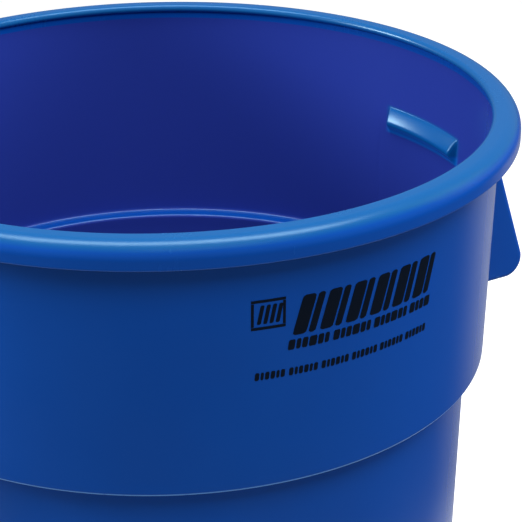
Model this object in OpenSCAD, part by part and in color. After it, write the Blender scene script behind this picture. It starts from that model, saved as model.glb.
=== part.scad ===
// Round open-top plastic can with a flat rolled rim, two moulded side handles and a nesting step.
// The can stands on z = 0 with its axis on Z. The handles lie on +X and -X, and the print faces -Y.
// Neighbouring regions of the wall meet face to face, so no two solids overlap.

/* [Body] */
// Overall height
can_h = 838; // [700:1:900]
// Outer diameter of the rim
rim_d = 673; // [660:1:690]
// Outer diameter of the upper wall just under the rim
wall_d = 635; // [625:1:640]
// Thickness of the wall
wall_t = 4; // [3:0.5:5]
// How much the upper wall narrows in radius for each millimetre down
upper_draft = 0.031; // [0.01:0.001:0.04]
// How much the lower wall narrows in radius for each millimetre down
lower_draft = 0.027; // [0.01:0.001:0.04]

/* [Rim] */
// Depth of the turned-down skirt
skirt_h = 23; // [20:1:32]
// Radius of the rim's outer top edge
rim_round = 15; // [8:1:16]
// Thickness of the rim and its skirt
rim_t = 4; // [3:0.5:5]
// How far the rounded lip stands in from the wall
lip_in = 4.5; // [2:0.5:6]
// Number of gussets in the channel under the rim
gussets = 24; // [8:4:36]

/* [Nesting step] */
// Depth of the step's underside below the top of the rim
step_z = 243; // [215:1:260]
// How far the wall steps in
step_in = 16.6; // [10:0.2:22]
// Radius of the step's outer bottom edge
step_round = 3; // [1:0.5:4]

/* [Base] */
// Height of the floor's underside above the ground
floor_z = 11; // [8:1:20]
// Thickness of the floor
floor_t = 5; // [4:0.5:8]
// Radius of the rounded corner between the wall and the floor
base_round = 19; // [12:1:24]
// Width of each foot ring
foot_w = 7; // [4:1:12]
// Distance in radius from the outer foot ring to the inner one
foot_gap = 58; // [30:1:100]
// Number of webs between the two foot rings
webs = 16; // [8:4:24]

/* [Handles] */
// Width of each handle
handle_w = 150; // [130:2:170]
// Depth of a handle's bottom edge below the top of the rim
handle_z = 244; // [225:1:250]
// How much a handle's outer face moves out for each millimetre down
handle_slope = 0.324; // [0.2:0.002:0.34]
// Outer radius of the rolled grip edge
grip_round = 20; // [12:1:24]
// Thickness of a handle's walls
handle_t = 4; // [3:0.5:5]

/* [Finger pockets] */
// Depth of a pocket's middle below the top of the rim
pocket_z = 96.5; // [85:0.5:120]
// Radius of a pocket's round section
pocket_r = 15; // [12:0.5:18]
// How far a pocket stands into the can
pocket_in = 8.5; // [6:0.5:10]
// Half the angle that a pocket spans about the can's axis
pocket_half_a = 10.9; // [8:0.1:12]

/* [Print] */
// Thickness of the ink
ink_t = 0.3; // [0.2:0.1:0.5]
// Direction in which the print faces, as an angle from +X
print_a = -88.7; // [-100:0.1:-80]

/* [Hidden] */
$fn = 180;

rim_blue = [0.10, 0.38, 0.74];
wall_blue = [0.03, 0.24, 0.58];
deep_blue = [0.05, 0.16, 0.44];
ink_black = [0.03, 0.03, 0.06];

rim_r = rim_d / 2;
wall_top_r = wall_d / 2;
lip_h = 8;
lip_round = 3;
lip_slope_h = 6;
wall_top_z = can_h - lip_h - lip_slope_h;
ledge_up = 7;
ledge_down = 9;
ledge_z = can_h - step_z;
ledge_inner_round = 3;
upper_end_z = ledge_z + ledge_up;
lower_top_z = ledge_z - ledge_down;
lower_end_z = floor_z + base_round + 4;
step_r = upper_r(ledge_z);
outer_foot_r = lower_r(lower_end_z) - base_round;
floor_r = outer_foot_r - 12;
inner_foot_r = outer_foot_r - foot_gap;
grip_line_r = 328.5;
grip_corner_z = can_h - handle_z;
pocket_mid_z = can_h - pocket_z;
pocket_wall_t = 3.5;
handle_top_z = can_h - rim_t;
reach = 500;
wedge_half_a = 30;
wedge_inner_r = 200;

// Outer radius of the upper wall at height z
function upper_r(z) = wall_top_r - upper_draft * (can_h - skirt_h - z);

// Outer radius of the lower wall at height z
function lower_r(z) = step_r - step_in - lower_draft * (ledge_z - z);

// Outer radius of a handle's sloping face at height z
function grip_r(z) = grip_line_r + handle_slope * (can_h - skirt_h - z);

// Points of an arc about [r, z], from angle a to angle b
function arc(r, z, radius, a, b, steps = 10) =
    [for (i = [0 : steps])
        let (turn = a + (b - a) * i / steps)
        [r + radius * cos(turn), z + radius * sin(turn)]];

// A solid of revolution from an outline in radius and height
module turned(points, angle = 360, start = 0) {
    rotate([0, 0, start]) rotate_extrude(angle = angle) polygon(points);
}

// Solid cone that fills the upper wall out to its outer face
module upper_core() {
    turned([[0, ledge_z - 60], [upper_r(ledge_z - 60), ledge_z - 60], [upper_r(can_h), can_h], [0, can_h]]);
}

// Moves what is drawn for the +X side to the side asked for, 1 or -1
module on_side(side) {
    rotate([0, 0, side > 0 ? 0 : 180]) children();
}

// ---- rim ----

module rim_flange() {
    inner_r = upper_r(can_h) - wall_t - lip_in;
    wall_in = upper_r(wall_top_z) - wall_t;
    color(rim_blue) turned(concat(
        [[wall_in, wall_top_z], [inner_r, can_h - lip_h]],
        arc(inner_r + lip_round, can_h - lip_round, lip_round, 180, 90),
        arc(rim_r - rim_round, can_h - rim_round, rim_round, 90, 0),
        arc(rim_r - rim_round, can_h - rim_round, rim_round - rim_t, 0, 90),
        [[upper_r(can_h - rim_t), can_h - rim_t], [upper_r(wall_top_z), wall_top_z]]));
}

module rim_skirt() {
    edge_round = 1.2;
    bottom = can_h - skirt_h;
    top = can_h - rim_round;
    color(rim_blue) turned(concat(
        [[rim_r - rim_t, top], [rim_r - rim_t, bottom + edge_round]],
        arc(rim_r - rim_t + edge_round, bottom + edge_round, edge_round, 180, 270, 5),
        arc(rim_r - edge_round, bottom + edge_round, edge_round, 270, 360, 5),
        [[rim_r, top]]));
}

// Gussets brace the skirt from the wall and leave the handles clear
module rim_gussets() {
    gusset_t = 3;
    gusset_h = 10;
    clear_a = 16;
    top = can_h - rim_round;
    inner_r = wall_top_r - 5;
    color(deep_blue) difference() {
        intersection() {
            turned([[inner_r, top], [rim_r - rim_t, top],
                    [wall_top_r, top - gusset_h], [inner_r, top - gusset_h]]);
            for (i = [0 : gussets - 1]) {
                a = (i + 0.5) * 360 / gussets;
                off_handle_a = abs(((a + 90) % 180) - 90);
                if (off_handle_a > clear_a)
                    rotate([0, 0, a]) translate([0, -gusset_t / 2, 0]) cube([reach, gusset_t, can_h]);
            }
        }
        upper_core();
    }
}

// ---- wall ----

module upper_wall() {
    color(wall_blue) difference() {
        turned([[upper_r(upper_end_z) - wall_t, upper_end_z], [upper_r(upper_end_z), upper_end_z],
                [upper_r(wall_top_z), wall_top_z], [upper_r(wall_top_z) - wall_t, wall_top_z]]);
        for (side = [1, -1]) on_side(side) pocket_solid(pocket_r, pocket_half_a);
    }
}

module step_ledge() {
    low_out = lower_r(lower_top_z);
    edge_in = step_r - step_in - wall_t;
    color(wall_blue) turned(concat(
        [[upper_r(upper_end_z) - wall_t, upper_end_z]],
        arc(step_r - wall_t - 2, ledge_z + wall_t + 2, 2, 0, -90, 6),
        arc(edge_in + ledge_inner_round, ledge_z + wall_t - ledge_inner_round, ledge_inner_round, 90, 180, 8),
        [[low_out - wall_t, lower_top_z], [low_out, lower_top_z]],
        arc(step_r - step_in + 1.5, ledge_z - 1.5, 1.5, 180, 90, 6),
        arc(step_r - step_round, ledge_z + step_round, step_round, 270, 360, 8),
        [[upper_r(upper_end_z), upper_end_z]]));
}

module lower_wall() {
    color(wall_blue) turned([
        [lower_r(lower_end_z) - wall_t, lower_end_z], [lower_r(lower_end_z), lower_end_z],
        [lower_r(lower_top_z), lower_top_z], [lower_r(lower_top_z) - wall_t, lower_top_z]]);
}

// ---- base ----

// Rounded corner from the wall down to the edge of the floor
module base_corner() {
    out_r = lower_r(lower_end_z);
    corner_z = floor_z + base_round;
    floor_meet_a = 360 - asin((base_round - floor_t) / (base_round - wall_t));
    color(wall_blue) turned(concat(
        [[floor_r, floor_z], [out_r - base_round, floor_z]],
        arc(out_r - base_round, corner_z, base_round, 270, 360),
        [[out_r, lower_end_z], [out_r - wall_t, lower_end_z]],
        arc(out_r - base_round, corner_z, base_round - wall_t, 360, floor_meet_a),
        [[floor_r, floor_z + floor_t]]));
}

module base_floor() {
    color(wall_blue) translate([0, 0, floor_z]) cylinder(r = floor_r, h = floor_t);
}

module foot_ring(outer_r) {
    edge = 1.5;
    turned(concat(
        [[outer_r - foot_w, floor_z]],
        arc(outer_r - foot_w + edge, edge, edge, 180, 270, 6),
        arc(outer_r - edge, edge, edge, 270, 360, 6),
        [[outer_r, floor_z]]));
}

module base_outer_foot_ring() {
    color(deep_blue) foot_ring(outer_foot_r);
}

module base_inner_foot_ring() {
    color(deep_blue) foot_ring(inner_foot_r);
}

// Webs tie the two foot rings together, clear of the ground
module base_webs() {
    web_t = 4;
    web_lift = 3;
    color(deep_blue) intersection() {
        turned([[inner_foot_r, web_lift], [outer_foot_r - foot_w, web_lift],
                [outer_foot_r - foot_w, floor_z], [inner_foot_r, floor_z]]);
        for (i = [0 : webs - 1])
            rotate([0, 0, i * 360 / webs]) translate([0, -web_t / 2, 0]) cube([reach, web_t, floor_z]);
    }
}

// ---- handles ----

// The grip's outline: a sloping face that rolls in at the bottom
bend_a = atan(handle_slope);
roll_mid_z = grip_corner_z + grip_round;
roll_mid_r = grip_r(roll_mid_z) - grip_round / cos(bend_a);
tangent_r = roll_mid_r + grip_round * cos(bend_a);
tangent_z = roll_mid_z + grip_round * sin(bend_a);

// Everything between the plane y = -handle_w / 2 and y = handle_w / 2, less a margin at each side
module handle_slice(margin = 0) {
    translate([0, -handle_w / 2 + margin, 0]) cube([reach, handle_w - 2 * margin, can_h]);
}

// A solid wedge out to the grip's outer face, with its rolled corner
module handle_wedge() {
    turned(concat(
        [[wedge_inner_r, handle_top_z], [wedge_inner_r, grip_corner_z]],
        arc(roll_mid_r, roll_mid_z, grip_round, 270, 360 + bend_a),
        [[grip_r(handle_top_z), handle_top_z]]), 2 * wedge_half_a, -wedge_half_a);
}

module side_plate(y_side) {
    mid_y = y_side * (handle_w - handle_t) / 2;
    difference() {
        intersection() {
            handle_wedge();
            translate([0, mid_y - handle_t / 2, 0]) cube([reach, handle_t, can_h]);
        }
        upper_core();
    }
}

module grip_panel() {
    slant_t = handle_t / cos(bend_a);
    difference() {
        intersection() {
            turned([[tangent_r - handle_t * cos(bend_a), tangent_z - handle_t * sin(bend_a)],
                    [tangent_r, tangent_z], [grip_r(handle_top_z), handle_top_z],
                    [grip_r(handle_top_z) - slant_t, handle_top_z]], 2 * wedge_half_a, -wedge_half_a);
            handle_slice(handle_t);
        }
        upper_core();
    }
}

module grip_edge() {
    intersection() {
        turned(concat(
            arc(roll_mid_r, roll_mid_z, grip_round, 270, 360 + bend_a),
            arc(roll_mid_r, roll_mid_z, grip_round - handle_t, 360 + bend_a, 270)),
            2 * wedge_half_a, -wedge_half_a);
        handle_slice(handle_t);
    }
}

// A sector of a ring with a round section, on the +X side
module pocket_solid(section_r, half_a) {
    mid_r = upper_r(pocket_mid_z) - wall_t - pocket_in + pocket_r;
    rotate([0, 0, -half_a]) rotate_extrude(angle = 2 * half_a)
        translate([mid_r, pocket_mid_z]) circle(r = section_r, $fn = 96);
}

module finger_pocket() {
    cap_a = pocket_wall_t / upper_r(pocket_mid_z) * 180 / PI;
    intersection() {
        difference() {
            pocket_solid(pocket_r, pocket_half_a);
            pocket_solid(pocket_r - pocket_wall_t, pocket_half_a - cap_a);
        }
        upper_core();
    }
}

module handle_right_front_plate() { color(deep_blue) on_side(1) side_plate(-1); }
module handle_right_rear_plate() { color(deep_blue) on_side(1) side_plate(1); }
module handle_right_grip_panel() { color(wall_blue) on_side(1) grip_panel(); }
module handle_right_grip_edge() { color(rim_blue) on_side(1) grip_edge(); }
module handle_right_finger_pocket() { color(rim_blue) on_side(1) finger_pocket(); }
module handle_left_front_plate() { color(deep_blue) on_side(-1) side_plate(1); }
module handle_left_rear_plate() { color(deep_blue) on_side(-1) side_plate(-1); }
module handle_left_grip_panel() { color(wall_blue) on_side(-1) grip_panel(); }
module handle_left_grip_edge() { color(rim_blue) on_side(-1) grip_edge(); }
module handle_left_finger_pocket() { color(rim_blue) on_side(-1) finger_pocket(); }

// ---- print ----

// A patch of ink on the upper wall: x along the wall from the print's middle, depths below the rim
module ink(x0, x1, depth0, depth1) {
    per_mm = 180 / PI / wall_top_r;
    z0 = can_h - depth1;
    z1 = can_h - depth0;
    turned([[upper_r(z0), z0], [upper_r(z0) + ink_t, z0], [upper_r(z1) + ink_t, z1], [upper_r(z1), z1]],
           (x1 - x0) * per_mm, print_a + x0 * per_mm);
}

// Four strokes around a plain block
module print_emblem() {
    stroke = 4;
    gap = 1;
    left = -94;
    right = -62;
    top = 63;
    bottom = 92;
    color(ink_black) {
        ink(left, right, top, top + stroke);
        ink(left, right, bottom - stroke, bottom);
        ink(left, left + stroke, top + stroke + gap, bottom - stroke - gap);
        ink(right - stroke, right, top + stroke + gap, bottom - stroke - gap);
        ink(left + 2 * stroke, right - 2 * stroke, top + 2 * stroke, bottom - 2 * stroke);
    }
}

// Five plain blocks
module print_band() {
    block_w = 26;
    pitch = 30;
    color(ink_black) for (i = [0 : 4]) ink(-55 + i * pitch, -55 + i * pitch + block_w, 66, 100);
}

module dashes(x0, x1, count, gap, depth0, depth1) {
    pitch = (x1 - x0 + gap) / count;
    color(ink_black) for (i = [0 : count - 1]) {
        start = x0 + i * pitch;
        ink(start, start + pitch - gap, depth0, depth1);
    }
}

module print_upper_line() { dashes(-63, 93, 12, 4, 105, 113); }
module print_lower_line() { dashes(-91, 93, 18, 4, 131, 139); }

rim_flange();
rim_skirt();
rim_gussets();
upper_wall();
step_ledge();
lower_wall();
base_corner();
base_floor();
base_outer_foot_ring();
base_inner_foot_ring();
base_webs();
handle_right_front_plate();
handle_right_rear_plate();
handle_right_grip_panel();
handle_right_grip_edge();
handle_right_finger_pocket();
handle_left_front_plate();
handle_left_rear_plate();
handle_left_grip_panel();
handle_left_grip_edge();
handle_left_finger_pocket();
print_emblem();
print_band();
print_upper_line();
print_lower_line();
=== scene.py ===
"""A round open-top plastic can: shells, materials, lights and the camera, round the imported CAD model.

Lengths are in metres. The can stands on z = 0 with its axis on Z. The handles lie on +X and -X, and the
print faces -Y. Profiles are lists of (radius, height) points.
"""

import math

import bpy
import numpy as np
from mathutils import Matrix, Vector


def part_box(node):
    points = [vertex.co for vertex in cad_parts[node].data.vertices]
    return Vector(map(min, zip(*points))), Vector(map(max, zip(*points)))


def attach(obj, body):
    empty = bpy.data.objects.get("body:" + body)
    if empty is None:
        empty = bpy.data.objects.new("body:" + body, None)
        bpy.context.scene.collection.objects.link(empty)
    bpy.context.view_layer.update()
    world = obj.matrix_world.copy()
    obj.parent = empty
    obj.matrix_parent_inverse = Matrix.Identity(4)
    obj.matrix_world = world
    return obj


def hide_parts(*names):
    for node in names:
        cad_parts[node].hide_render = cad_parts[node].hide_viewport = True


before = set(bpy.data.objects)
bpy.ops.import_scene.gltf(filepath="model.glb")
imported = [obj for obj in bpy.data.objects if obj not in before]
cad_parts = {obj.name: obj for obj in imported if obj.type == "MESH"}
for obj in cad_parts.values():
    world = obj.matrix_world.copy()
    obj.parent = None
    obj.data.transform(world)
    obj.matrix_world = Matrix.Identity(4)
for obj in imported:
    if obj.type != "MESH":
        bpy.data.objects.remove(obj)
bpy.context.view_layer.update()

# ---- sizes, from the frame ----

MM = 0.001
flange_low, flange_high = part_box("rim_flange")
skirt_low, skirt_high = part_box("rim_skirt")
upper_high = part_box("upper_wall")[1]
step_low, step_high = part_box("step_ledge")
lower_low, lower_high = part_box("lower_wall")
corner_low, corner_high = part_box("base_corner")
grip_low, grip_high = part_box("handle_right_grip_edge")
plate_low, plate_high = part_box("handle_right_front_plate")
pocket_low, pocket_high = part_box("handle_right_finger_pocket")

CAN_H = flange_high.z
RIM_R = flange_high.x
SKIRT_Z = skirt_low.z
RIM_ROUND = CAN_H - skirt_high.z
WALL_TOP_Z = flange_low.z
WALL_TOP_R = upper_high.x
STEP_TOP_Z = step_high.z
STEP_TOP_R = step_high.x
STEP_LOW_Z = step_low.z
LOWER_TOP_R = lower_high.x
LOWER_END_Z = lower_low.z
LOWER_END_R = corner_high.x
FLOOR_Z = corner_low.z

# ---- finer sizes, with the places of the handles and pockets from the frame ----

WALL_T = 4 * MM
RIM_T = 4 * MM
LIP_IN = 4.5 * MM
LIP_H = 5.5 * MM
STEP_LEDGE_DOWN = 9 * MM
FLOOR_T = 5 * MM
BASE_ROUND = 19 * MM
GATE_DISH = 0.8 * MM
HANDLE_HALF_W = -plate_low.y
HANDLE_T = 4 * MM
HANDLE_LOW_Z = grip_low.z
HANDLE_TOP_Z = plate_high.z
GRIP_ROUND = 20 * MM
GRIP_SLOPE = 0.324
GRIP_LINE_R = 328.5 * MM
GRIP_LINE_Z = CAN_H - 23 * MM
GRIP_ROLL_W = GRIP_ROUND * 1.35
HANDLE_FROM_R = 290 * MM
PLATE_A = math.asin((HANDLE_HALF_W - HANDLE_T / 2) / WALL_TOP_R)
POCKET_MID_Z = (pocket_low.z + pocket_high.z) / 2
POCKET_TOP = 13.5 * MM
POCKET_FOOT = 12.5 * MM
POCKET_HALF_A = math.radians(10.9)
POCKET_LIP_IN = 0.9 * MM
POCKET_FACE_IN = 11.5 * MM
POCKET_FACE_H = 30 * MM
POCKET_NOSE_ROUND = 6 * MM
POCKET_END_SLOPE = 2.8
INK_T = 0.3 * MM
PRINT_A = math.radians(-88.7)

UPPER_DRAFT = (WALL_TOP_R - STEP_TOP_R) / (WALL_TOP_Z - STEP_TOP_Z)
LOWER_DRAFT = (LOWER_TOP_R - LOWER_END_R) / (STEP_LOW_Z - LOWER_END_Z)
LEDGE_Z = STEP_LOW_Z + STEP_LEDGE_DOWN
SEGMENTS = 384


def upper_r(z):
    """Outer radius of the upper wall at height z."""
    return WALL_TOP_R - UPPER_DRAFT * (WALL_TOP_Z - z)


def lower_r(z):
    """Outer radius of the lower wall at height z."""
    return LOWER_TOP_R - LOWER_DRAFT * (STEP_LOW_Z - z)


def grip_face_r(z):
    """Radius of a handle's sloping face at height z."""
    return GRIP_LINE_R + GRIP_SLOPE * (GRIP_LINE_Z - z)


def off_handle_middle(angle):
    """Angle from the middle of the nearer handle."""
    return np.abs((angle + math.pi / 2) % math.pi - math.pi / 2)


# ---- mesh helpers ----

def arc(r, z, radius, start, end, steps=8):
    """Points of an arc about (r, z), from angle start to angle end in degrees."""
    turns = [math.radians(start + (end - start) * i / steps) for i in range(steps + 1)]
    return [(r + radius * math.cos(a), z + radius * math.sin(a)) for a in turns]


def with_support(outline, margin=0.8 * MM):
    """Adds a point near each end of every straight stretch, so that smooth shading stays flat there."""
    made = []
    for (r0, z0), (r1, z1) in zip(outline, outline[1:] + outline[:1]):
        made.append((r0, z0))
        length = math.hypot(r1 - r0, z1 - z0)
        if length > 4 * margin:
            for part in (margin / length, 1 - margin / length):
                made.append((r0 + (r1 - r0) * part, z0 + (z1 - z0) * part))
    return made


def make_object(name, verts, faces, material):
    """A smooth-shaded mesh object, with sharp edges kept where faces meet at more than 50 degrees."""
    mesh = bpy.data.meshes.new(name)
    mesh.from_pydata([tuple(v) for v in verts], [], [tuple(f) for f in faces])
    mesh.validate()
    mesh.shade_smooth()
    mesh.set_sharp_from_angle(angle=math.radians(50))
    mesh.materials.append(material)
    made = bpy.data.objects.new(name, mesh)
    bpy.context.scene.collection.objects.link(made)
    return made


def grid_faces(rows, columns, wrap_rows, wrap_columns):
    """Quads of a grid of rows x columns vertices, wrapped round in either direction."""
    r = np.arange(rows if wrap_rows else rows - 1)
    c = np.arange(columns if wrap_columns else columns - 1)
    r, c = [g.ravel() for g in np.meshgrid(r, c, indexing="ij")]
    r1, c1 = (r + 1) % rows, (c + 1) % columns
    return np.stack([r * columns + c, r1 * columns + c, r1 * columns + c1, r * columns + c1], 1)


def lathe(name, outline, material, angles=None, shift=None):
    """Sweeps a closed outline, drawn anticlockwise, round the Z axis.

    shift(angle, r, z), if given, says how far each point moves in radius.
    """
    points = np.array(with_support(outline))
    if angles is None:
        angles = np.arange(SEGMENTS) * 2 * math.pi / SEGMENTS
    a, r = np.meshgrid(angles, points[:, 0], indexing="ij")
    z = np.broadcast_to(points[:, 1], r.shape)
    if shift:
        r = r + shift(a, r, z)
    verts = np.stack([r * np.cos(a), r * np.sin(a), z], -1).reshape(-1, 3)
    return make_object(name, verts, grid_faces(len(angles), len(points), True, True), material)


# ---- materials ----

def new_material(name):
    """A material with an empty node tree, and its Principled shader."""
    material = bpy.data.materials.new(name)
    material.use_nodes = True
    tree = material.node_tree
    tree.nodes.clear()
    output = tree.nodes.new("ShaderNodeOutputMaterial")
    shader = tree.nodes.new("ShaderNodeBsdfPrincipled")
    tree.links.new(shader.outputs["BSDF"], output.inputs["Surface"])
    return material, tree, shader


def noise(tree, scale, detail=2.0, stretch=(1, 1, 1)):
    """Noise in object coordinates, scale per metre, squeezed by stretch. Returns its value from 0 to 1."""
    coords = tree.nodes.new("ShaderNodeTexCoord")
    mapping = tree.nodes.new("ShaderNodeMapping")
    mapping.inputs["Scale"].default_value = stretch
    texture = tree.nodes.new("ShaderNodeTexNoise")
    texture.inputs["Scale"].default_value = scale
    texture.inputs["Detail"].default_value = detail
    tree.links.new(coords.outputs["Object"], mapping.inputs["Vector"])
    tree.links.new(mapping.outputs["Vector"], texture.inputs["Vector"])
    return texture.outputs["Fac"]


def ranged(tree, value, low, high, to_low, to_high):
    """Maps value from low..high to to_low..to_high, clamped."""
    node = tree.nodes.new("ShaderNodeMapRange")
    for socket, number in (("From Min", low), ("From Max", high), ("To Min", to_low), ("To Max", to_high)):
        node.inputs[socket].default_value = number
    tree.links.new(value, node.inputs["Value"])
    return node.outputs["Result"]


def math_node(tree, operation, a, b):
    """a and b are sockets or numbers."""
    node = tree.nodes.new("ShaderNodeMath")
    node.operation = operation
    for socket, value in zip(node.inputs, (a, b)):
        if isinstance(value, (int, float)):
            socket.default_value = value
        else:
            tree.links.new(value, socket)
    return node.outputs[0]


def mixed(tree, factor, low, high):
    """A colour between low and high, by factor. low and high are colours or sockets.

    Inputs 6 and 7 are the Mix node's two colours, and output 2 is its colour result.
    """
    node = tree.nodes.new("ShaderNodeMix")
    node.data_type = "RGBA"
    tree.links.new(factor, node.inputs["Factor"])
    for socket, value in ((node.inputs[6], low), (node.inputs[7], high)):
        if isinstance(value, tuple):
            socket.default_value = (*value, 1)
        else:
            tree.links.new(value, socket)
    return node.outputs[2]


def grey(level):
    """A neutral colour."""
    return (level, level, level)


def bump(tree, shader, height, strength, distance):
    """Bumps the shader's normal by a height socket, to a distance in metres."""
    node = tree.nodes.new("ShaderNodeBump")
    node.inputs["Strength"].default_value = strength
    node.inputs["Distance"].default_value = distance
    tree.links.new(height, node.inputs["Height"])
    tree.links.new(node.outputs["Normal"], shader.inputs["Normal"])


def vector_node(tree, operation, *vectors):
    """A vector maths node. vectors are sockets or tuples."""
    node = tree.nodes.new("ShaderNodeVectorMath")
    node.operation = operation
    for socket, vector in zip(node.inputs, vectors):
        if isinstance(vector, tuple):
            socket.default_value = vector
        else:
            tree.links.new(vector, socket)
    return node


def object_xyz(tree):
    """Sockets X, Y and Z of the shaded point in object coordinates."""
    coords = tree.nodes.new("ShaderNodeTexCoord")
    split = tree.nodes.new("ShaderNodeSeparateXYZ")
    tree.links.new(coords.outputs["Object"], split.inputs["Vector"])
    return split.outputs


def height_band(tree, low, high, fade):
    """1 between the heights low and high, falling to 0 over fade on either side."""
    z = object_xyz(tree)["Z"]
    rise = ranged(tree, z, low - fade, low, 0, 1)
    fall = ranged(tree, z, high, high + fade, 1, 0)
    return math_node(tree, "MULTIPLY", rise, fall)


def inside_share(tree):
    """1 on faces that look in at the can's axis, 0 on the others. It masks the painted shade inside, and
    keeps scuffs outside.
    """
    coords = tree.nodes.new("ShaderNodeTexCoord")
    geometry = tree.nodes.new("ShaderNodeNewGeometry")
    flat = vector_node(tree, "MULTIPLY", coords.outputs["Object"], (1, 1, 0))
    outward = vector_node(tree, "NORMALIZE", flat.outputs["Vector"])
    facing = vector_node(tree, "DOT_PRODUCT", outward.outputs["Vector"], geometry.outputs["Normal"])
    return ranged(tree, facing.outputs["Value"], -0.3, -0.6, 0, 1)


def pocket_share(tree, low, high):
    """1 on the wall at the finger pockets, between two heights, fading to 0 round about. It masks the
    pockets' painted light.
    """
    half = POCKET_HALF_A * WALL_TOP_R
    off_middle = math_node(tree, "ABSOLUTE", object_xyz(tree)["Y"], 0)
    across = ranged(tree, off_middle, half - 2 * MM, half + 4 * MM, 1, 0)
    return math_node(tree, "MULTIPLY", across, height_band(tree, low, high, 3 * MM))


BLUE = (0.001, 0.060, 0.350)
BLUE_DEEP = (0.001, 0.054, 0.325)
# Painted shade: a darker, more violet blue for faces that look in.
BLUE_INSIDE_PAINTED_SHADE = (0.018, 0.037, 0.275)
# Painted sheen: a greener, less deep blue for the rim's top.
BLUE_RIM_TOP_PAINTED_SHEEN = (0.004, 0.080, 0.260)
# Painted light on the finger pockets: a tint for the sloping face, and a lighter blue for the underside,
# which is in shade.
BLUE_POCKET_FACE_PAINTED_LIGHT = (0.001, 0.078, 0.280)
BLUE_POCKET_UNDER_PAINTED_LIGHT = (0.002, 0.115, 0.470)
# Lighter blue of scuffs, also used for a painted highlight line along the step's outer edge.
BLUE_WORN_AND_EDGE_HIGHLIGHT = (0.140, 0.400, 0.850)
BLUE_PINHOLE = (0.0012, 0.030, 0.140)
INK_BLACK = (0.0030, 0.0065, 0.0150)
GLOSS_TINT = (0.5, 0.85, 1.0, 1)


def blue_plastic(name, roughness, scuff_and_highlight_band=None, scuff_and_highlight_amount=0.35, scuff_and_highlight_from=0.56, inside=None, painted_sheen_band=None):
    """Moulded polyethylene: clouded colour, orange peel as bump, draw marks and smudges in the roughness.

    A band is (low, high, fade) in height. The scuff band has the scuffs, on the outside only; on the wall it
    sits at the step's outer edge, set so dense that it is a painted highlight line. The top band has a
    painted sheen for the rim's top. inside is the colour of painted shade on faces that look in, and brings
    the pockets' painted
    light with it: a tint on their sloping faces and a lighter blue on their undersides, which are in shade.
    """
    material, tree, shader = new_material(name)
    cloud = ranged(tree, noise(tree, 5, 3), 0.35, 0.65, 0, 1)
    color = mixed(tree, cloud, BLUE_DEEP, BLUE)
    if inside:
        # Painted shade on faces that look in.
        color = mixed(tree, inside_share(tree), color, inside)
        # Painted light on the pockets: a tint on the sloping face and a lighter blue on the shaded
        # underside.
        nose_z = POCKET_MID_Z - 3 * MM
        face = pocket_share(tree, nose_z, POCKET_MID_Z + POCKET_TOP)
        under = pocket_share(tree, POCKET_MID_Z - POCKET_FOOT, nose_z - 3 * MM)
        color = mixed(tree, face, color, BLUE_POCKET_FACE_PAINTED_LIGHT)
        color = mixed(tree, under, color, BLUE_POCKET_UNDER_PAINTED_LIGHT)
    # Painted sheen on the rim's top.
    if painted_sheen_band:
        color = mixed(tree, height_band(tree, *painted_sheen_band), color, BLUE_RIM_TOP_PAINTED_SHEEN)
    draw_marks = ranged(tree, noise(tree, 260, 2, (1, 1, 0.02)), 0.3, 0.7, -0.004, 0.004)
    smudges = ranged(tree, noise(tree, 16, 4), 0.35, 0.65, roughness - 0.015, roughness + 0.015)
    rough = math_node(tree, "ADD", draw_marks, smudges)
    # Scuffs; where the band is set dense, as at the wall's step, they make a painted highlight line.
    if scuff_and_highlight_band:
        scuff_and_highlight = ranged(tree, noise(tree, 130, 6, (1, 1, 2.5)), scuff_and_highlight_from, scuff_and_highlight_from + 0.16, 0, scuff_and_highlight_amount)
        scuff_and_highlight = math_node(tree, "MULTIPLY", scuff_and_highlight, height_band(tree, *scuff_and_highlight_band))
        outside = math_node(tree, "SUBTRACT", 1, inside_share(tree))
        scuff_and_highlight = math_node(tree, "MULTIPLY", scuff_and_highlight, outside)
        color = mixed(tree, scuff_and_highlight, color, BLUE_WORN_AND_EDGE_HIGHLIGHT)
        rough = math_node(tree, "ADD", rough, math_node(tree, "MULTIPLY", scuff_and_highlight, 0.25))
    tree.links.new(color, shader.inputs["Base Color"])
    tree.links.new(rough, shader.inputs["Roughness"])
    shader.inputs["IOR"].default_value = 1.46
    shader.inputs["Specular IOR Level"].default_value = 0.6
    shader.inputs["Specular Tint"].default_value = GLOSS_TINT
    peel = noise(tree, 520, 1)
    bump(tree, shader, peel, 0.10, 0.10 * MM)
    return material


def ink_material():
    """Black print with a slightly uneven film and pinholes of blue."""
    material, tree, shader = new_material("print_ink")
    pinholes = ranged(tree, noise(tree, 900, 3), 0.68, 0.74, 0, 0.5)
    rough = ranged(tree, noise(tree, 60, 3), 0.3, 0.7, 0.34, 0.46)
    tree.links.new(mixed(tree, pinholes, INK_BLACK, BLUE_PINHOLE), shader.inputs["Base Color"])
    tree.links.new(rough, shader.inputs["Roughness"])
    shader.inputs["Specular IOR Level"].default_value = 0.1
    film = noise(tree, 700, 2)
    bump(tree, shader, film, 0.12, 0.1 * MM)
    return material


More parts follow.
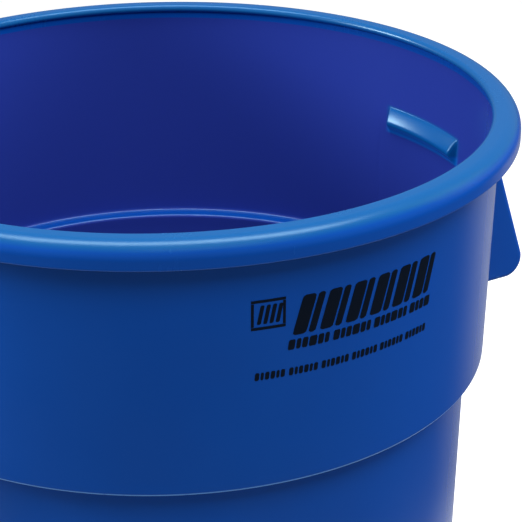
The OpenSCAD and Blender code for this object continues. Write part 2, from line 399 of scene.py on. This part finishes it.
def floor_material():
    """Matt floor: pale with a little glow to the camera, mid grey to bounced light, grey in the can's gloss.

    The grey in the gloss is dark in front of the print, lighter behind the can and lightest close round it.
    """
    material, tree, shader = new_material("studio_floor")
    coords = tree.nodes.new("ShaderNodeTexCoord")
    away = vector_node(tree, "LENGTH", coords.outputs["Object"])
    path = tree.nodes.new("ShaderNodeLightPath")
    behind = ranged(tree, object_xyz(tree)["Y"], -0.2, 0.6, 0, 1)
    close = ranged(tree, away.outputs["Value"], 0.7, 0.9, 1, 0)
    in_gloss = mixed(tree, close, mixed(tree, behind, grey(0.02), grey(0.33)), grey(0.50))
    bounced = mixed(tree, path.outputs["Is Glossy Ray"], grey(0.40), in_gloss)
    pale = mixed(tree, noise(tree, 0.7, 2), grey(0.86), grey(0.90))
    color = mixed(tree, path.outputs["Is Camera Ray"], bounced, pale)
    glow = mixed(tree, path.outputs["Is Camera Ray"], grey(0.0), grey(0.35))
    tree.links.new(color, shader.inputs["Base Color"])
    tree.links.new(glow, shader.inputs["Emission Color"])
    shader.inputs["Emission Strength"].default_value = 1.0
    shader.inputs["Roughness"].default_value = 0.75
    shader.inputs["Specular IOR Level"].default_value = 0.2
    return material


# The rim's top gets a painted sheen.
RIM_PLASTIC = blue_plastic("rim_plastic", 0.26, painted_sheen_band=(CAN_H - 4 * MM, CAN_H + MM, 4 * MM))
# The wall's scuff band at the step's outer edge is set so dense that it is a painted highlight line.
WALL_PLASTIC = blue_plastic("wall_plastic", 0.25, (LEDGE_Z - MM, LEDGE_Z + 1.8 * MM, 0.8 * MM), 0.55,
                            scuff_and_highlight_from=0.25, inside=BLUE_INSIDE_PAINTED_SHADE)
HANDLE_PLASTIC = blue_plastic("handle_plastic", 0.32, (HANDLE_LOW_Z, HANDLE_LOW_Z + 4 * MM, 5 * MM))
# The base's inward faces get painted shade; its scuffs are wear.
BASE_PLASTIC = blue_plastic("base_plastic", 0.36, (0, 5 * MM, 5 * MM), 0.4,
                            scuff_and_highlight_from=0.45, inside=BLUE_INSIDE_PAINTED_SHADE)
INK = ink_material()


# ---- rim, walls and base ----

def rim_shell():
    """Flat rim with a rounded inner lip, a round outer edge and a turned-down skirt, open underneath."""
    inner_r = upper_r(CAN_H) - WALL_T - LIP_IN
    lip_round = 4.5 * MM
    lip_low_z = CAN_H - LIP_H
    edge = 1.2 * MM
    under = RIM_ROUND - RIM_T
    outline = (
        [(upper_r(WALL_TOP_Z) - WALL_T, WALL_TOP_Z), (upper_r(WALL_TOP_Z), WALL_TOP_Z)]
        + arc(upper_r(CAN_H) + 2 * MM, CAN_H - RIM_T - 2 * MM, 2 * MM, 180, 90, 5)
        + arc(RIM_R - RIM_ROUND, CAN_H - RIM_ROUND, under, 90, 0, 12)
        + arc(RIM_R - RIM_T + edge, SKIRT_Z + edge, edge, 180, 270, 5)
        + arc(RIM_R - edge, SKIRT_Z + edge, edge, 270, 360, 5)
        + arc(RIM_R - RIM_ROUND, CAN_H - RIM_ROUND, RIM_ROUND, 0, 88, 18)
        + arc(inner_r + lip_round, CAN_H - lip_round, lip_round, 92, 180, 10)
        + [(inner_r, lip_low_z), (inner_r + 1.2 * MM, lip_low_z - 1.6 * MM),
           (inner_r + 4.1 * MM, lip_low_z - 3.6 * MM)])
    made = lathe("rim_shell", outline, RIM_PLASTIC)
    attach(made, "root")
    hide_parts("rim_flange", "rim_skirt")


def smooth_max(a, b, k):
    """The larger of a and b, blended over a width k."""
    return np.maximum(a, b) + np.maximum(k - np.abs(a - b), 0) ** 2 / (4 * k)


def smooth_min(a, b, k):
    """The smaller of a and b, blended over a width k."""
    return -smooth_max(-a, -b, k)


def pocket_depth(angle, z, thickness, half_a, end_round):
    """How far a pocket stands in from the plain wall: a sloping face, round nose and soft underside."""
    below_top = POCKET_MID_Z + POCKET_TOP - z
    above_foot = z - POCKET_MID_Z + POCKET_FOOT
    lip = POCKET_LIP_IN * (1 - np.exp(-np.maximum(below_top, 0) / (0.6 * MM)))
    face = POCKET_FACE_IN * (1 - (1 - below_top / POCKET_FACE_H) ** 2)
    body = smooth_min(lip + face, above_foot, POCKET_NOSE_ROUND) - thickness
    to_end = (half_a - off_handle_middle(angle)) * WALL_TOP_R
    body = smooth_min(body, to_end * POCKET_END_SLOPE, end_round)
    edge_round = 1.2 * MM + 2.5 * MM * np.exp(-(to_end / (2 * MM)) ** 2)
    return np.where(below_top < POCKET_TOP, smooth_max(body, 0, edge_round), smooth_max(body, 0, 4 * MM))


def sink_depth(angle, z):
    """Depth of the shallow sink mark on the inside, opposite each handle plate."""
    across = np.exp(-((off_handle_middle(angle) - PLATE_A) * WALL_TOP_R / (1.6 * MM)) ** 2)
    from_ledge = np.clip((z - LEDGE_Z - 8 * MM) / (12 * MM), 0, 1)
    to_pocket = np.clip((POCKET_MID_Z - z) / (20 * MM), 0, 1)
    along = from_ledge * to_pocket
    return 0.35 * MM * across * along


def upper_wall_angles():
    """Even steps round the can, with finer ones at the pockets' ends and at the sink marks."""
    steps = list(np.arange(SEGMENTS) * 2 * math.pi / SEGMENTS)
    fine = math.radians(0.07)
    for middle in (0, math.pi):
        for side in (-1, 1):
            for at in (POCKET_HALF_A, POCKET_HALF_A - math.radians(0.6), PLATE_A):
                steps += [(middle + side * at + fine * k) % (2 * math.pi) for k in range(-9, 10)]
    return np.array(sorted(set(np.round(steps, 5))))


def upper_wall_shell():
    """Tapered upper wall whose inner face swells into a finger pocket behind each handle."""
    top = POCKET_MID_Z + POCKET_TOP
    fine_low = POCKET_MID_Z - POCKET_FOOT - 4 * MM
    levels = np.concatenate([np.linspace(STEP_TOP_Z, fine_low, 9)[:-1],
                             np.linspace(fine_low, top - 3 * MM, 26)[:-1],
                             np.linspace(top - 3 * MM, top + MM, 16)[:-1],
                             np.linspace(top + 2 * MM, WALL_TOP_Z, 5)])
    outer = [(upper_r(z), z) for z in levels]
    inner = [(upper_r(z) - WALL_T, z) for z in reversed(levels)]
    cap_a = 3.5 * MM / WALL_TOP_R

    def shift(angle, r, z):
        """Inwards at a pocket, on both faces, and outwards at a sink mark, on the inner face only."""
        is_inner = r < upper_r(z) - WALL_T / 2
        inside = sink_depth(angle, z) - pocket_depth(angle, z, 0, POCKET_HALF_A, 6 * MM)
        outside = -pocket_depth(angle, z, MM, POCKET_HALF_A - cap_a, 1.5 * MM)
        return np.where(is_inner, inside, outside)

    made = lathe("upper_wall_shell", outer + inner, WALL_PLASTIC, upper_wall_angles(), shift)
    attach(made, "root")
    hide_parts("upper_wall", "handle_right_finger_pocket", "handle_left_finger_pocket")


def step_shell():
    """The nesting step: a rounded ledge inside and a small-radius edge outside."""
    step_r = upper_r(LEDGE_Z)
    low_r = LOWER_TOP_R
    inner_edge = low_r - WALL_T
    outline = (
        [(low_r, STEP_LOW_Z)]
        + arc(low_r + 2 * MM, LEDGE_Z - 2 * MM, 2 * MM, 180, 90, 6)
        + arc(step_r - 3 * MM, LEDGE_Z + 3 * MM, 3 * MM, 270, 360, 8)
        + [(STEP_TOP_R, STEP_TOP_Z), (STEP_TOP_R - WALL_T, STEP_TOP_Z)]
        + arc(step_r - WALL_T - 3 * MM, LEDGE_Z + WALL_T + 3 * MM, 3 * MM, 360, 270, 8)
        + arc(inner_edge + 3.2 * MM, LEDGE_Z + WALL_T - 3.2 * MM, 3.2 * MM, 90, 180, 10)
        + [(inner_edge, STEP_LOW_Z)])
    made = lathe("step_shell", outline, WALL_PLASTIC)
    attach(made, "root")
    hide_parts("step_ledge")


def lower_wall_shell():
    """Tapered lower wall, from the base's corner up to the step."""
    levels = list(np.linspace(LOWER_END_Z, STEP_LOW_Z, 12))
    outline = [(lower_r(z), z) for z in levels] + [(lower_r(z) - WALL_T, z) for z in reversed(levels)]
    made = lathe("lower_wall_shell", outline, WALL_PLASTIC)
    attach(made, "root")
    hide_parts("lower_wall")


def base_shell():
    """Flat floor with a rounded corner, and a gate mark in a shallow dish in its middle."""
    corner_z = FLOOR_Z + BASE_ROUND
    corner_r = LOWER_END_R - BASE_ROUND
    top = FLOOR_Z + FLOOR_T
    meet_a = 360 - math.degrees(math.asin((BASE_ROUND - FLOOR_T) / (BASE_ROUND - WALL_T)))
    pole = 0.2 * MM
    outline = (
        [(pole, FLOOR_Z), (corner_r - 40 * MM, FLOOR_Z)]
        + arc(corner_r, corner_z, BASE_ROUND, 270, 360, 12)
        + [(LOWER_END_R, LOWER_END_Z), (LOWER_END_R - WALL_T, LOWER_END_Z)]
        + arc(corner_r, corner_z, BASE_ROUND - WALL_T, 360, meet_a, 10)
        + [(corner_r - 14 * MM, top), (14 * MM, top), (12 * MM, top - GATE_DISH)]
        + [(4 * MM, top - GATE_DISH), (2.5 * MM, top + MM), (pole, top + MM)])
    made = lathe("base_shell", outline, BASE_PLASTIC)
    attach(made, "root")
    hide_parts("base_corner", "base_floor")


# ---- handles ----

def at_corner(grid, corner, cells):
    """A grid's values at one corner of every cell."""
    i, j, k = corner
    return grid[i:i + cells[0], j:j + cells[1], k:k + cells[2]]


def edge_crossings(field, inside, cells):
    """For each cell, the sum of the points where its edges cross the surface, and their number."""
    total = np.zeros(cells + (3,))
    count = np.zeros(cells)
    corners = [(i, j, k) for i in (0, 1) for j in (0, 1) for k in (0, 1)]
    for a in corners:
        for axis in range(3):
            if a[axis]:
                continue
            b = tuple(v + (n == axis) for n, v in enumerate(a))
            fa, fb = at_corner(field, a, cells), at_corner(field, b, cells)
            crosses = at_corner(inside, a, cells) != at_corner(inside, b, cells)
            part = np.where(crosses, fa / np.where(crosses, fa - fb, 1), 0)
            for n in range(3):
                total[..., n] += np.where(crosses, a[n] + (part if n == axis else 0), 0)
            count += crosses
    return total, count


def crossing_quads(inside, index, cells):
    """A quad round every grid edge that crosses the surface, facing out. index gives each cell's vertex."""
    faces = []
    unit = np.eye(3, dtype=int)
    for axis in range(3):
        low = [slice(1, cells[n]) for n in range(3)]
        low[axis] = slice(0, cells[axis])
        high = list(low)
        high[axis] = slice(1, cells[axis] + 1)
        where = np.argwhere(inside[tuple(low)] != inside[tuple(high)]) + 1 - unit[axis]
        du, dv = [unit[n] for n in range(3) if n != axis]
        ring = [where - du - dv, where - dv, where, where - du]
        quad = np.stack([index[tuple(r.T)] for r in ring], 1)
        flip = inside[tuple(where.T)] != (axis == 1)
        faces.append(np.where(flip[:, None], quad, quad[:, ::-1]))
    return np.concatenate(faces)


def surface_nets(field, origin, step):
    """Quads round the zero level of a sampled distance field, negative inside: (verts, faces)."""
    inside = field < 0
    cells = tuple(np.array(field.shape) - 1)
    total, count = edge_crossings(field, inside, cells)
    used = count > 0
    index = np.full(cells, -1)
    index[used] = np.arange(used.sum())
    verts = origin + step * (np.argwhere(used) + total[used] / count[used][:, None])
    return verts, crossing_quads(inside, index, cells)


def wedge_distance(r, z):
    """Distance to the handle's outline: its sloping face, its round lower corner and its flat bottom."""
    bend = math.atan(GRIP_SLOPE)
    mid_z = HANDLE_LOW_Z + GRIP_ROUND
    mid_r = grip_face_r(mid_z) - GRIP_ROUND / math.cos(bend)
    dr, dz = r - mid_r, z - mid_z
    slope = dr * math.cos(bend) + dz * math.sin(bend)
    turn = np.arctan2(dz, dr)
    in_corner = (turn > -math.pi / 2) & (turn < bend)
    return np.where(in_corner, np.hypot(dr, dz), np.maximum(slope, -dz)) - GRIP_ROUND


def handle_distance(p):
    """Distance to the handle on +X: two side plates and a grip panel, open below and towards the can."""
    x, y, z = p[..., 0], p[..., 1], p[..., 2]
    r = np.hypot(x, y)
    edge_round = 5 * MM
    past_plates = np.abs(y) - HANDLE_HALF_W
    above_roll = np.maximum(z, HANDLE_LOW_Z + GRIP_ROUND)
    outside = smooth_max(wedge_distance(r, z), past_plates, edge_round)
    opened = smooth_max(wedge_distance(r, above_roll), past_plates, edge_round)
    roll_end = grip_face_r(HANDLE_LOW_Z) - GRIP_ROLL_W
    inner = np.where(r > roll_end, outside, np.minimum(outside, opened)) + HANDLE_T
    shell = smooth_max(outside, -inner, 1.2 * MM)
    shell = smooth_max(shell, HANDLE_LOW_Z - z, 1.2 * MM)
    shell = np.maximum(shell, z - HANDLE_TOP_Z - MM)
    return np.maximum(shell, upper_r(z) - 1.5 * MM - r)


def handle_shell(name, side, nodes):
    """Samples the distance field and wraps it in quads. side is 1 on +X, or -1 for half a turn to -X."""
    step = 1.5 * MM
    low = np.array([HANDLE_FROM_R, -HANDLE_HALF_W - 2 * step, HANDLE_LOW_Z - 2 * step])
    high = np.array([grip_high.x + 14 * MM, HANDLE_HALF_W + 2 * step, HANDLE_TOP_Z + 3 * step])
    axes = [np.arange(a, b, step) for a, b in zip(low, high)]
    samples = np.stack(np.meshgrid(*axes, indexing="ij"), -1)
    verts, faces = surface_nets(handle_distance(samples), low, step)
    for _ in range(3):
        verts = onto_surface(verts, step)
    verts[:, 0] *= side
    verts[:, 1] *= side
    made = make_object(name, verts, faces, HANDLE_PLASTIC)
    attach(made, "root")
    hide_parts(*nodes)


def onto_surface(verts, step):
    """One step of each vertex along the field's gradient towards its zero level."""
    here = handle_distance(verts)
    small = 0.05 * MM
    ahead = [handle_distance(verts + small * e) for e in np.eye(3)]
    behind = [handle_distance(verts - small * e) for e in np.eye(3)]
    gradient = np.stack([(a - b) / (2 * small) for a, b in zip(ahead, behind)], 1)
    size = np.maximum((gradient ** 2).sum(1), 0.25)
    move = gradient * (here / size)[:, None]
    return verts - np.clip(move, -step / 2, step / 2)


# ---- print ----

def ink_block(x0, x1, z0, z1, slant=0.0, corner=0.0, rows=8, columns=8):
    """A closed slab of ink on the wall, as (verts, faces). x runs along it from the print's middle."""
    v = np.linspace(0, 1, rows + 1)
    z = z0 + (z1 - z0) * (1 - np.cos(math.pi * v)) / 2
    edge = np.minimum(z - z0, z1 - z)
    inset = corner - np.sqrt(np.maximum(corner ** 2 - np.maximum(corner - edge, 0) ** 2, 0))
    lean = slant * (z - z0)
    u = np.linspace(0, 1, columns + 1)
    x = (x0 + inset + lean)[:, None] + u[None] * (x1 - x0 - 2 * inset)[:, None]
    z = np.broadcast_to(z[:, None], x.shape)
    a = PRINT_A + x / WALL_TOP_R
    layers = [np.stack([(upper_r(z) + lift) * np.cos(a), (upper_r(z) + lift) * np.sin(a), z], -1)
              for lift in (INK_T, -0.2 * MM)]
    faces = grid_faces(rows + 1, columns + 1, False, False)
    half = (rows + 1) * (columns + 1)
    ring = (list(range(columns)) + [r * (columns + 1) + columns for r in range(rows)]
            + [rows * (columns + 1) + columns - c for c in range(columns)]
            + [(rows - r) * (columns + 1) for r in range(rows)])
    sides = [(b, a_, a_ + half, b + half) for a_, b in zip(ring, ring[1:] + ring[:1])]
    faces = [tuple(f[::-1]) for f in faces] + [tuple(f + half) for f in faces] + sides
    return np.concatenate([layer.reshape(-1, 3) for layer in layers]), faces


def ink_piece(name, blocks, node):
    """Joins blocks of ink into one piece that stands for a CAD node."""
    verts, faces = [], []
    for block in blocks:
        block_verts, block_faces = block
        faces += [tuple(int(i) + len(verts) for i in f) for f in block_faces]
        verts += list(block_verts)
    made = make_object(name, verts, faces, INK)
    made.data.shade_flat()
    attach(made, "root")
    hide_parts(node)


def at_depth(depth):
    """Height of a point that many millimetres below the rim."""
    return CAN_H - depth * MM


def ink_dashes(x0, x1, widths, gap, top, bottom, slant):
    """Blocks in a row, with widths that repeat until the row is full."""
    blocks = []
    x = x0
    i = 0
    while x < x1:
        width = min(widths[i % len(widths)], x1 - x)
        if width > 1:
            blocks.append(ink_block(x * MM, (x + width) * MM, at_depth(bottom), at_depth(top),
                                    slant, 0.8 * MM, 4, 2))
        x += width + gap * (3 if i % 6 == 5 else 1)
        i += 1
    return blocks


def emblem_blocks():
    """A frame with four slanted strokes in it. Sizes in millimetres."""
    left, right, top, bottom, stroke, gap = -94, -64, 64, 91, 2.4, 0.6
    side_low = at_depth(bottom - stroke - gap)
    side_high = at_depth(top + stroke + gap)
    blocks = [
        ink_block(left * MM, right * MM, at_depth(top + stroke), at_depth(top)),
        ink_block(left * MM, right * MM, at_depth(bottom), at_depth(bottom - stroke)),
        ink_block(left * MM, (left + stroke) * MM, side_low, side_high),
        ink_block((right - stroke) * MM, right * MM, side_low, side_high)]
    for k in range(4):
        x = (left + stroke + 2.5 + 5.4 * k) * MM
        blocks.append(ink_block(x, x + 3.4 * MM, at_depth(bottom - 5), at_depth(top + 5), 0.2, MM))
    return blocks


def band_blocks():
    """Six pairs of bold slanted bars, a wide one and a narrow one. Sizes in millimetres."""
    left, pitch, top, bottom, slant = -58, 25, 66, 101, 0.28
    blocks = []
    for k in range(6):
        x = (left + k * pitch) * MM
        blocks.append(ink_block(x, x + 12.5 * MM, at_depth(bottom), at_depth(top), slant, 2.5 * MM))
        blocks.append(ink_block(x + 14.5 * MM, x + 21 * MM, at_depth(bottom), at_depth(top), slant, 2 * MM))
    return blocks


def print_pieces():
    """Generic marks: a framed block, a row of bold slanted bars and two rows of dashes."""
    upper_line = ink_dashes(-62, 92, (6, 4, 5, 7, 5, 4), 1.4, 105, 114, 0.15)
    lower_line = ink_dashes(-91, 92, (3.8, 2.6, 3.6), 1.3, 131, 138, 0.1)
    ink_piece("print_emblem_ink", emblem_blocks(), "print_emblem")
    ink_piece("print_band_ink", band_blocks(), "print_band")
    ink_piece("print_upper_line_ink", upper_line, "print_upper_line")
    ink_piece("print_lower_line_ink", lower_line, "print_lower_line")


# ---- carried-over CAD nodes ----

def dress_cad_nodes():
    """The gussets, foot rings and webs keep their CAD shape and take the plastic's material."""
    for node, material in (("rim_gussets", WALL_PLASTIC), ("base_outer_foot_ring", BASE_PLASTIC),
                           ("base_inner_foot_ring", BASE_PLASTIC), ("base_webs", BASE_PLASTIC)):
        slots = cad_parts[node].material_slots
        for slot in slots:
            slot.material = material


# ---- studio ----

CAMERA_A = math.radians(-118.05)
CAMERA_DISTANCE = 1.6713
CAMERA_Z = CAN_H + 0.5883
CAMERA_HEADING = math.radians(58.747)
CAMERA_PITCH = math.radians(-24.322)
CAMERA_ROLL = math.radians(-0.358)
CAMERA_LENS = 129.63


def add_camera():
    """The camera at the photograph's viewing angle, fitted to the can's outlines."""
    data = bpy.data.cameras.new("camera")
    data.lens = CAMERA_LENS
    data.sensor_width = 36
    data.clip_end = 100
    camera = bpy.data.objects.new("camera", data)
    bpy.context.scene.collection.objects.link(camera)
    place = Vector((CAMERA_DISTANCE * math.cos(CAMERA_A), CAMERA_DISTANCE * math.sin(CAMERA_A), CAMERA_Z))
    turn = (Matrix.Rotation(CAMERA_HEADING - math.pi / 2, 4, "Z")
            @ Matrix.Rotation(math.pi / 2 + CAMERA_PITCH, 4, "X") @ Matrix.Rotation(CAMERA_ROLL, 4, "Z"))
    camera.matrix_world = Matrix.Translation(place) @ turn
    bpy.context.scene.camera = camera


def add_floor():
    """A square floor that reaches past the camera's view."""
    half = 20
    corners = [(-half, -half, 0), (half, -half, 0), (half, half, 0), (-half, half, 0)]
    floor = make_object("studio_floor", corners, [(0, 1, 2, 3)], floor_material())


def add_light(name, azimuth, elevation, distance, size, power, mirrored=True):
    """A soft white light that looks at the can's mouth, placed by angles in degrees.

    One that isn't mirrored gives no highlight.
    """
    data = bpy.data.lights.new(name, "AREA")
    data.shape = "RECTANGLE"
    data.size, data.size_y = size
    data.energy = power
    light = bpy.data.objects.new(name, data)
    light.visible_glossy = mirrored
    light.visible_camera = False
    bpy.context.scene.collection.objects.link(light)
    a, e = math.radians(azimuth), math.radians(elevation)
    way = Vector((math.cos(a) * math.cos(e), math.sin(a) * math.cos(e), math.sin(e)))
    turn = way.to_track_quat("Z", "Y").to_matrix().to_4x4()
    light.matrix_world = Matrix.Translation(Vector((0, 0, CAN_H)) + way * distance) @ turn


def add_lights():
    """A dim white world, a long light overhead, a key behind and two fills without highlights."""
    world = bpy.data.worlds.new("studio")
    world.use_nodes = True
    background = world.node_tree.nodes["Background"]
    background.inputs["Color"].default_value = (1, 1, 1, 1)
    background.inputs["Strength"].default_value = 0.22
    bpy.context.scene.world = world
    add_light("overhead", 59, 89.9, 2.6, (3.2, 1.0), 80)
    add_light("key_back_left", 148, 18, 3.2, (1.4, 1.0), 100)
    add_light("side_right", -13, 22, 3.0, (1.2, 1.8), 78, mirrored=False)
    add_light("front_fill", -100, 50, 3.4, (2.2, 1.4), 80, mirrored=False)


def set_color():
    """Plain display colours, with no film look."""
    scene = bpy.context.scene
    scene.view_settings.view_transform = "Standard"
    scene.view_settings.look = "None"
    scene.view_settings.exposure = 0.0


add_camera()
rim_shell()
upper_wall_shell()
step_shell()
lower_wall_shell()
base_shell()
handle_shell("handle_right_shell", 1, ["handle_right_front_plate", "handle_right_rear_plate",
                                       "handle_right_grip_panel", "handle_right_grip_edge"])
handle_shell("handle_left_shell", -1, ["handle_left_front_plate", "handle_left_rear_plate",
                                       "handle_left_grip_panel", "handle_left_grip_edge"])
print_pieces()
dress_cad_nodes()
add_floor()
add_lights()
set_color()
